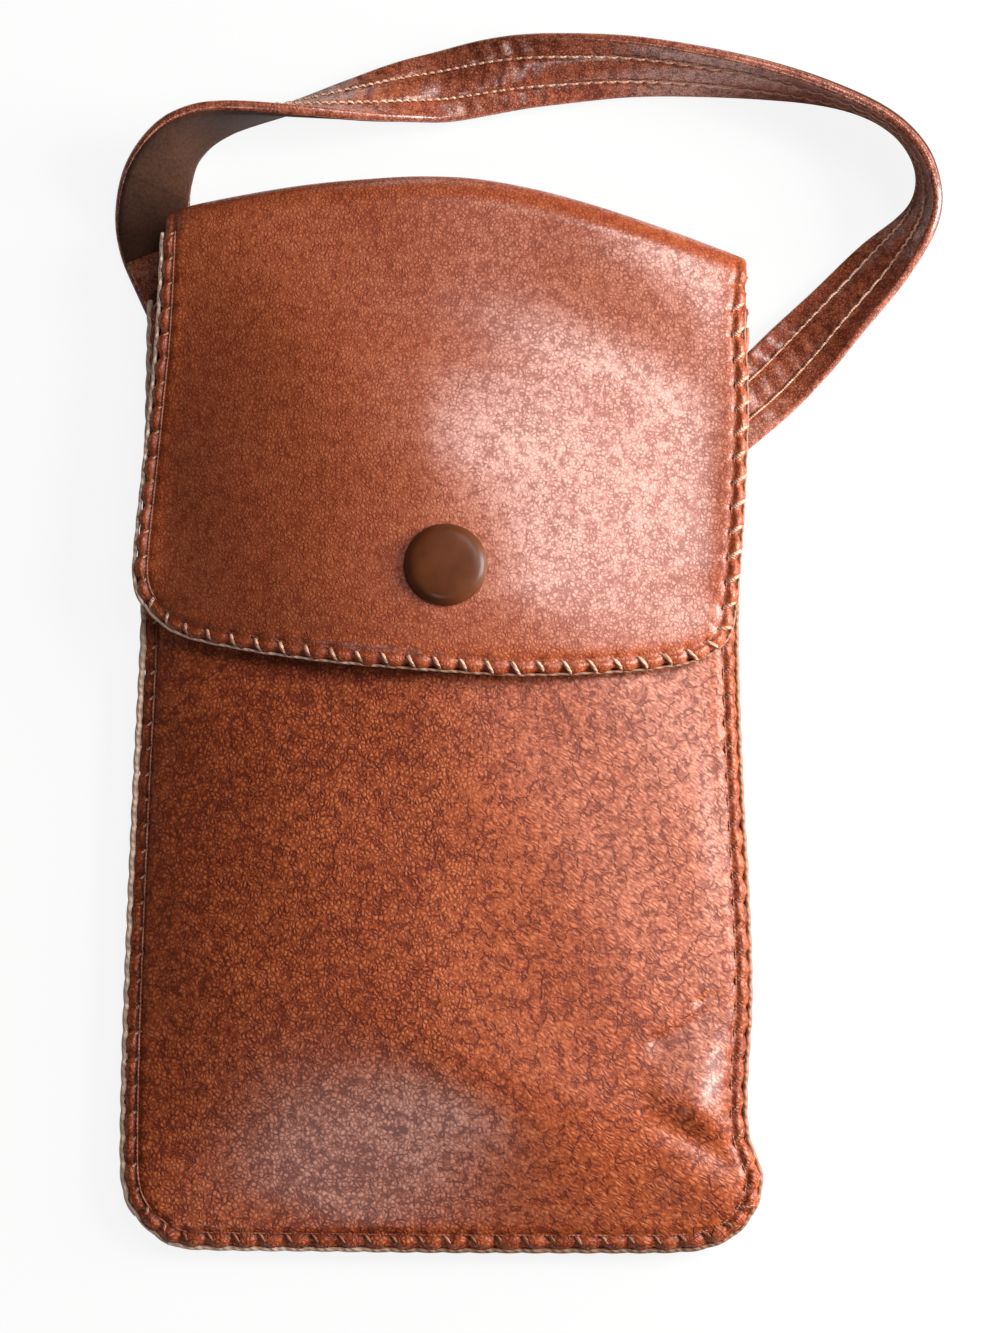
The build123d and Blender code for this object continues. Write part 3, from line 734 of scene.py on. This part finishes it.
def edge_sewing(name, line, on, drop, cord, cord_out, rise, lean, turn, wax, body, stands_for):
    """Needle line, turns that go drop down over the edge, and a thread of cord along the edge."""
    spots, ups = needle_path(line, NEEDLE, on)
    rim, rim_ups = needle_path(line, -cord_out, on)
    rim[:, 2] = np.maximum(spots[:, 2] - drop * 0.42, cord + 0.1)
    needle = lay_thread(running_thread, spots, ups, {
        "Points per stitch": POINTS_PER_STITCH, "Thread radius": 0.19 * MM, "Rise": rise * MM,
        "Pinch": 0.25},
        shaded_wax)
    turns = lay_thread(turn_stitch, spots, ups, {
        "Points per stitch": POINTS_PER_STITCH, "Thread radius": turn * MM, "Lean": lean * MM,
        "Reach": (NEEDLE + cord_out) * MM, "Drop": drop * MM}, wax)
    edge = lay_thread(running_thread, rim, rim_ups, {
        "Points per stitch": POINTS_PER_STITCH, "Thread radius": cord * MM, "Rise": 0.0,
        "Pinch": 0.3}, edge_wax)
    sewn_in(name, [needle, turns, edge], body, stands_for)


SUNK = 0.45  # how deep the seam's thread is drawn into the leather


def on_front(x, y):
    return front_height(x, y, np.full_like(x, NEEDLE)) - SUNK


corner = corner_left / len(body_line)
edge_sewing("left_seam_thread", whole_stitches(body_line, 0.004, corner), on_front,
            drop=3.1, cord=0.64, cord_out=0.38, rise=0.27, lean=2.4, turn=0.24, wax=thread_wax,
            body="case", stands_for=["left_seam_stitches"])
edge_sewing("long_seam_thread", whole_stitches(body_line, corner, 0.995), on_front,
            drop=3.1, cord=0.5, cord_out=0.3, rise=-0.1, lean=2.6, turn=0.36, wax=shaded_wax,
            body="case", stands_for=["bottom_seam_stitches", "right_seam_stitches"])

# The mouth's stitches: one straight row of the waxed tan thread, 3 mm below the front's top edge.
# It holds leather and lining together where the pocket is open.
MOUTH_ROW = 3.0
x = np.arange(-44.0, 44.0, STITCH / POINTS_PER_STITCH)
line = np.stack([x, np.full_like(x, MOUTH_Y - MOUTH_ROW)], 1)


def on_mouth(x, y):
    """The front's face at the mouth, where nothing draws the edge in."""
    return front_height(x, y, np.full_like(x, 9.0)) - 0.15


spots, ups = needle_path(line, 0.0, on_mouth)
sewn_in("mouth_thread", [lay_thread(running_thread, spots, ups, {
    "Points per stitch": POINTS_PER_STITCH, "Thread radius": 0.22 * MM, "Rise": 0.34 * MM,
    "Pinch": 0.25})], "case", ["mouth_stitches"])

# The flap: the back's leather goes on past the mouth, bends over in a soft round fold and comes
# down over the front. It is one piece, which on the real case bends at the fold as the flap opens.
FLAP_LOW = STACK + 1.1
SNAP_X, SNAP_Y = 0.9, 19.8
crest = through([(-47.2, 81.4), (-44.0, 83.0), (-39.0, 84.2), (-24.0, 86.6), (-10.6, 87.8),
                 (-2.2, 88.1), (6.2, 87.6), (16.3, 85.7), (26.4, 82.9), (36.5, 79.6), (46.0, 76.3),
                 (51.2, 74.4)])
flap_line = through([
    (-46.6, 78.0), (-46.9, 70.0), (-47.4, 60.0), (-48.2, 49.0), (-49.2, 36.5), (-50.0, 27.0),
    (-50.3, 20.5), (-49.7, 17.2), (-48.3, 14.7), (-46.4, 12.6), (-44.3, 11.0), (-41.7, 9.7),
    (-38.0, 8.5), (-33.0, 7.3), (-27.3, 6.1), (-17.9, 4.6), (-7.4, 3.5), (3.2, 2.8), (11.5, 2.5),
    (19.3, 2.8), (25.8, 3.3), (32.4, 4.0), (38.7, 5.1), (42.3, 6.2), (45.3, 8.0), (47.3, 10.5),
    (48.3, 14.7), (48.8, 19.7), (49.4, 26.5), (49.9, 33.2), (50.4, 41.7), (50.7, 48.6),
    (50.6, 55.3), (50.3, 61.4), (50.5, 66.0), (51.0, 70.5),
])
flap_corner_left = nearest(flap_line, (-46.4, 12.6))
flap_corner_right = nearest(flap_line, (45.3, 8.0))


def crest_y(x):
    return np.interp(x, crest[:, 0], crest[:, 1])


def fold_top(x):
    """Top of the fold: full in the middle, pressed flatter at its two ends."""
    return 10.4 + 4.6 * np.clip(1 - np.abs(x / 51.0) ** 2.6, 0, 1)


def fold_radius(x):
    return (fold_top(x) - STRAP_THICK) / 2


def flap_height(x, y):
    """The flap's outer face, from its sewn edge up over the front."""
    edge = FLAP_LOW + LEATHER + LINING + bed(y)
    left, right = np.clip((SWELL_X - x) / 46.0, 0, 1), np.clip((x - SWELL_X) / 52.5, 0, 1)
    side = 1 - left ** 2.3 - right ** 1.5
    full = 11.8 - 2.4 * smooth(-2.0, 20.0, -y + 14.0)
    crown = full * side * (1 - 0.36 * smooth(34.0, 74.0, y))
    body = (crown ** 3 + bed(y) ** 3) ** (1 / 3) + edge - bed(y)
    near_fold = smooth(52.0, 76.0, y + 0.10 * x)
    dimple = 0.55 * np.exp(-((x - SNAP_X) ** 2 + (y - SNAP_Y) ** 2) / 110.0)
    soft = smooth(49.0, 41.0, np.abs(x))
    return (body * (1 - near_fold) + near_fold * fold_top(x) - dimple
            + 0.5 * soft * ripple(x + 7.0, y * 1.1))


left = flap_line[flap_corner_left::-1]
right = flap_line[flap_corner_right:]
bottom = flap_line[flap_corner_left:flap_corner_right + 1]
x = np.linspace(left[-1][0], right[-1][0], 120)
top = np.stack([x, crest_y(x) - fold_radius(x)], 1)
left = np.vstack([left[left[:, 1] < top[0][1] - 0.2], top[:1]])
right = np.vstack([right[right[:, 1] < top[-1][1] - 0.2], top[-1:]])
flap_across, flap_along = spread(170, 0.5), spread(150, 0.22)


def flap_surface(across, along, gap, edge_pull):
    """The flap's outer face moved in by gap: front, fold and the strip that runs under it."""
    plan = patch(bottom, right, top, left, across, along)
    far, where, out = from_edge(plan, flap_line)
    pulled = plan + out * (edge_pull * (scallop(where) - 0.6) * np.exp(-far / 1.1))[..., None]
    rise = flap_height(plan[..., 0], plan[..., 1])
    rise = sewn(rise, far, where, 0.8 if edge_pull > 0 else 0.2)
    over = np.dstack([pulled, rise])
    x = over[-1, :, 0]
    bend = fold_radius(x)
    base = crest_y(x) - bend
    fold_rows, strip_rows, blend_rows = 30, 10, 12
    ring = []
    for turn in np.linspace(0, math.pi, fold_rows)[1:]:
        ring.append(np.stack([x, base + bend * math.sin(turn),
                              STRAP_THICK + bend + bend * math.cos(turn)], 1))
    seat = ring[-1][:, 2]
    step = rise[-1] - (STRAP_THICK + 2 * bend)  # from the flap's last row to the fold's top
    for k, row in enumerate(ring):
        row[:, 2] += step * (1 - smooth(0, blend_rows, k))
    for share in np.linspace(0, 1, strip_rows)[1:]:
        ring.append(np.stack([x, base + (JOIN_Y - base) * share, seat], 1))
    outer = np.concatenate([over, np.array(ring)])
    side = np.minimum(x - x.min(), x.max() - x)
    far = np.concatenate([far, np.repeat(side[None], len(ring), 0)])
    return outer - normals(outer) * gap, far


flap_leather = leather("flap_leather", (0.27, 0.043, 0.011), (0.43, 0.087, 0.024),
                       (0.59, 0.155, 0.052), cell=0.65, crackle=0.6, depth=0.09)
surface, far = flap_surface(flap_across, flap_along, 0.0, 0.8)
flap = thicken("flap_leather", surface, LEATHER, far, flap_leather, soil_and_shade=0.1)
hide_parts("flap_panel", "flap_fold")
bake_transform(flap)

# The flap's lining: the same thin brown leather, glued to the inside of the flap. It runs round
# the inside of the fold in one piece, which on the real case bends with the fold.
lining_gap = 0.06
surface, far = flap_surface(spread(70, 0.4), spread(70, 0.2), LEATHER + lining_gap, 0.0)
flap_lining = thicken("flap_lining_leather", surface, LINING - GLUE, far, lining_leather,
                      LINING_ROUND)
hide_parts("flap_lining", "fold_lining")
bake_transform(flap_lining)

# The flap's thread: waxed tan thread in the case's own stitch, through leather and lining round
# the flap's three free edges. It draws the edge into small scallops.


def on_flap(x, y):
    return flap_height(x, y) - SUNK


corner = flap_corner_left / len(flap_line)
edge_sewing("flap_left_thread", whole_stitches(flap_line, 0.01, corner), on_flap,
            drop=2.2, cord=0.42, cord_out=0.15, rise=0.2, lean=2.0, turn=0.22, wax=thread_wax,
            body="flap", stands_for=["flap_left_stitches"])
edge_sewing("flap_long_thread", whole_stitches(flap_line, corner, 0.985), on_flap,
            drop=2.2, cord=0.3, cord_out=-0.05, rise=-0.1, lean=1.7, turn=0.36, wax=thread_wax,
            body="flap", stands_for=["flap_lower_stitches", "flap_right_stitches"])

# The snap's cap: a pressed brass dome, enamelled a glossy brown, its rim rolled under. Its post
# goes through the flap and is clinched in the socket, which draws a dimple round it.
cap_enamel, shader, start = finish("cap_enamel", Roughness=0.45, Specular_IOR_Level=0.2,
                                   Coat_Weight=0.3, Coat_Roughness=0.26)
place = start.node("ShaderNodeTexCoord", out=3)
film = place.noise(220.0, 4.0)
scuff = place.noise(1400.0, 2.0)
feed(shader, "Base Color", film.between(0.35, 0.7).blend(
    (0.105, 0.026, 0.006), (0.14, 0.038, 0.011)))
feed(shader, "Roughness", 0.40 + film * 0.12 + scuff * 0.06)
emboss(shader, film * 0.7 + scuff * 0.3, 0.02)


def closed_tube(name, rings, material):
    """A piece through rings of points, both its ends closed."""
    count, sides = rings.shape[:2]
    number = np.arange(count * sides).reshape(count, sides)
    beside = np.roll(number, -1, axis=1)
    quads = np.stack([number[:-1], beside[:-1], beside[1:], number[1:]], -1).reshape(-1, 4)
    ends = [number[0, ::-1].tolist(), number[-1].tolist()]
    return solid(name, rings.reshape(-1, 3), quads.tolist() + ends, material)


def turned(name, outline, centre, material, sides=96):
    """A round piece turned from its half outline of (radius, height) points."""
    outline = np.array(outline, float)
    angle = np.linspace(0, 2 * np.pi, sides, endpoint=False)
    rings = np.stack([
        centre[0] + outline[:, :1] * np.cos(angle), centre[1] + outline[:, :1] * np.sin(angle),
        centre[2] + outline[:, 1:] + 0 * angle], -1)
    return closed_tube(name, rings, material)


cap_pressed = 0.25  # into the flap
cap_seat = float(flap_height(np.array([SNAP_X]), np.array([SNAP_Y]))[0]) - cap_pressed
dome = [(0.02, 2.45), (1.2, 2.44), (2.4, 2.41), (3.6, 2.34), (4.6, 2.24), (5.4, 2.06), (6.0, 1.74),
        (6.4, 1.3), (6.62, 0.85), (6.7, 0.45), (6.6, 0.15), (6.3, 0.0), (5.6, 0.0), (5.5, 0.3),
        (5.3, 0.9), (4.0, 1.4), (0.02, 1.7)]
cap_line = through(dome, 0.18)[::-1]
cap = turned("snap_cap_dome", cap_line, (SNAP_X, SNAP_Y, cap_seat), cap_enamel)
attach(cap, "flap")
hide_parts("snap_cap")

# The snap's hidden halves: stud, socket, wire spring and two posts, pressed and turned in dull
# plated brass. The posts are clinched through the leather, and a leather patch backs the stud.
snap_brass, shader, start = finish("snap_brass", Metallic=1.0, Roughness=0.34)
place = start.node("ShaderNodeTexCoord", out=3)
tarnish = place.noise(500.0, 5.0)
spun = place.noise(2600.0, 2.0)
feed(shader, "Base Color", tarnish.between(0.4, 0.68).blend(
    (0.62, 0.47, 0.26), (0.34, 0.24, 0.12)))
feed(shader, "Roughness", 0.26 + tarnish * 0.25)
emboss(shader, spun, 0.01)


def refinish(nodes, material):
    """CAD pieces whose shape is right get their finish."""
    for node in nodes:
        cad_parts[node].data.materials.clear()
        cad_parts[node].data.materials.append(material)


refinish(["snap_stud", "stud_post", "snap_socket", "snap_spring", "cap_post"], snap_brass)
refinish(["stud_patch"], case_leather)

# The strap: a strip of the case's leather, its edges turned under, with suede on its underside.
# It is sewn flat under the case at both ends, and lies twisted beyond the fold.
route = np.array([
    (-27.0, 34.0, 180), (-35.0, 49.0, 180), (-46.0, 72.0, 180), (-49.3, 80.0, 180),
    (-49.3, 86.0, 162), (-47.3, 91.5, 136), (-43.6, 96.2, 112), (-37.0, 99.4, 90),
    (-24.0, 101.5, 62), (-13.7, 103.6, 36), (-2.4, 106.4, 5), (9.6, 108.3, -25),
    (20.0, 108.9, -45), (35.0, 108.8, -66), (55.0, 106.4, -88), (68.0, 103.1, -103),
    (76.0, 99.0, -106), (80.5, 93.5, -100), (81.7, 87.5, -86), (79.8, 81.2, -62),
    (73.9, 74.0, -38), (66.0, 65.5, -26), (60.0, 59.4, -9), (53.0, 52.7, 0), (40.0, 42.0, 0),
    (27.0, 32.0, 0)], float)
STRAP_WIDE, STRAP_FACE = 12.7, 1.3
STRAP_STITCH, STRAP_POINTS = 3.8, 6
STRAP_ROW = 2.5  # each row of stitches, from the strap's middle
BEYOND_Y = 88.0  # past this the strap may stand clear of the table
strap_line = through(route, STRAP_STITCH / STRAP_POINTS)
run = heading(strap_line[:, :2])
roll = np.radians(strap_line[:, 2])
forward = np.column_stack([run, np.zeros(len(run))])
sideways = np.column_stack([-run[:, 1], run[:, 0], np.zeros(len(run))])
strap_out = np.array([0, 0, 1.0]) * np.cos(roll)[:, None] + sideways * np.sin(roll)[:, None]
strap_across = np.cross(forward, strap_out)
strap_lift = (STRAP_WIDE / 2 * np.sqrt(np.sin(roll) ** 2 + 0.02 * np.cos(roll) ** 2)
              + STRAP_THICK / 2 * np.abs(np.cos(roll)) + 0.1)
strap_lift = np.minimum(strap_lift, np.where(strap_line[:, 1] < BEYOND_Y, 0, 9) + STRAP_THICK / 2
                        + STRAP_WIDE / 2 * np.abs(np.sin(roll)))
strap_middle = np.column_stack([strap_line[:, :2], strap_lift])
strap_gone = gone_along(strap_middle)


def strap_tube(name, first, last, ring_of, material):
    """A closed strip whose section at each place is given by ring_of as (across, out) points."""
    rings = []
    for i in range(first, last):
        section = ring_of(i)
        rings.append(strap_middle[i] + section[:, :1] * strap_across[i]
                     + section[:, 1:] * strap_out[i])
    return closed_tube(name, np.array(rings), material)


def strap_section(i):
    """Turned edges, a groove at each row of stitches and small creases across the strap."""
    s = strap_gone[i]
    half, edge = STRAP_WIDE / 2, 0.65
    top, floor = STRAP_THICK / 2, STRAP_THICK / 2 - STRAP_FACE
    a = np.linspace(0, np.pi, 15)
    face_x = np.linspace(half - edge, -half + edge, 31)
    crease = 0.10 * np.sin(s * 1.9 + 0.8 * np.sin(face_x * 0.9)) * np.abs(np.sin(s * 0.13 + 1))
    face = (top + crease * 0.8 + 0.10 * np.cos(face_x / 1.1)
            - 0.32 * np.exp(-((np.abs(face_x) - STRAP_ROW) / 0.45) ** 2) - 0.05)
    low = floor - 0.45  # how far the turned edges reach past the strip's inner face
    centre, tall = (top + low) / 2, (top - low) / 2
    right = np.stack([half - edge + edge * np.sin(a), centre - tall * np.cos(a)], 1)
    left = np.stack([-half + edge - edge * np.sin(a), centre + tall * np.cos(a)], 1)
    under = np.stack([np.linspace(-half + 1.5, half - 1.5, 9), np.full(9, floor)], 1)
    return np.vstack([right, np.stack([face_x[1:-1], face[1:-1]], 1), left, under])[::-1]


strap_leather = leather("strap_leather", (0.14, 0.020, 0.005), (0.40, 0.088, 0.032),
                        (0.64, 0.215, 0.10), cell=0.5, crackle=0.4, depth=0.08)
strap = strap_tube("strap_leather", 0, len(strap_line), strap_section, strap_leather)
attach(strap, "case")
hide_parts("strap_strip")

# The strap's underside: a leather facing under its left end, and dark suede along the rest. Both
# are glued between the strap's turned edges, and its two rows of stitches go through them.
suede, shader, start = finish("suede", Roughness=0.95, Specular_IOR_Level=0.2, Sheen_Weight=0.12,
                              Sheen_Roughness=0.5)
place = start.node("ShaderNodeTexCoord", out=3)
nap = place.noise(1800.0, 4.0)
brushed = place.noise(120.0, 3.0)
feed(shader, "Base Color", (nap * 0.6 + brushed * 0.5).between(0.3, 0.8).blend(
    (0.035, 0.013, 0.007), (0.085, 0.034, 0.019)))
emboss(shader, nap, 0.08)


def under_section(i):
    """A flat strip between the strap's turned edges, the same all along it."""
    half = STRAP_WIDE / 2 - 0.55
    across = np.linspace(-half, half, 15)
    low = np.full(15, -STRAP_THICK / 2 + 0.02)
    low[[0, -1]] += 0.3
    high = np.full(15, STRAP_THICK / 2 - STRAP_FACE + 0.05)
    return np.vstack([np.stack([across, low], 1), np.stack([across[::-1], high], 1)])


FACING_LENGTH = 48.5
facing_end = int(np.searchsorted(strap_gone, FACING_LENGTH))
facing = strap_tube("strap_facing_leather", 0, facing_end + 1, under_section, strap_leather)
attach(facing, "case")
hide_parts("strap_facing")
under = strap_tube("strap_suede_side", facing_end, len(strap_line), under_section, suede)
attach(under, "case")
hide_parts("strap_suede")

# The strap's stitches: two straight rows of waxed tan thread, 5 mm apart, drawn into its face. At
# both ends a small box of the same thread sews the strap to the back.
TAB_LENGTH = 13.0
tab = int(np.searchsorted(strap_gone, TAB_LENGTH))
for side, name, node in ((1, "outer", "strap_outer_row"), (-1, "inner", "strap_inner_row")):
    spots = (strap_middle + strap_across * side * STRAP_ROW
             + strap_out * (STRAP_THICK / 2 - 0.3))[tab:-tab]
    row = lay_thread(running_thread, spots, strap_out[tab:-tab], {
        "Points per stitch": STRAP_POINTS, "Thread radius": 0.22 * MM, "Rise": 0.36 * MM,
        "Pinch": 0.2})
    sewn_in(f"strap_{name}_thread", [row], "case", [node])
refinish(["left_tab_stitches", "right_tab_stitches"], thread_wax)
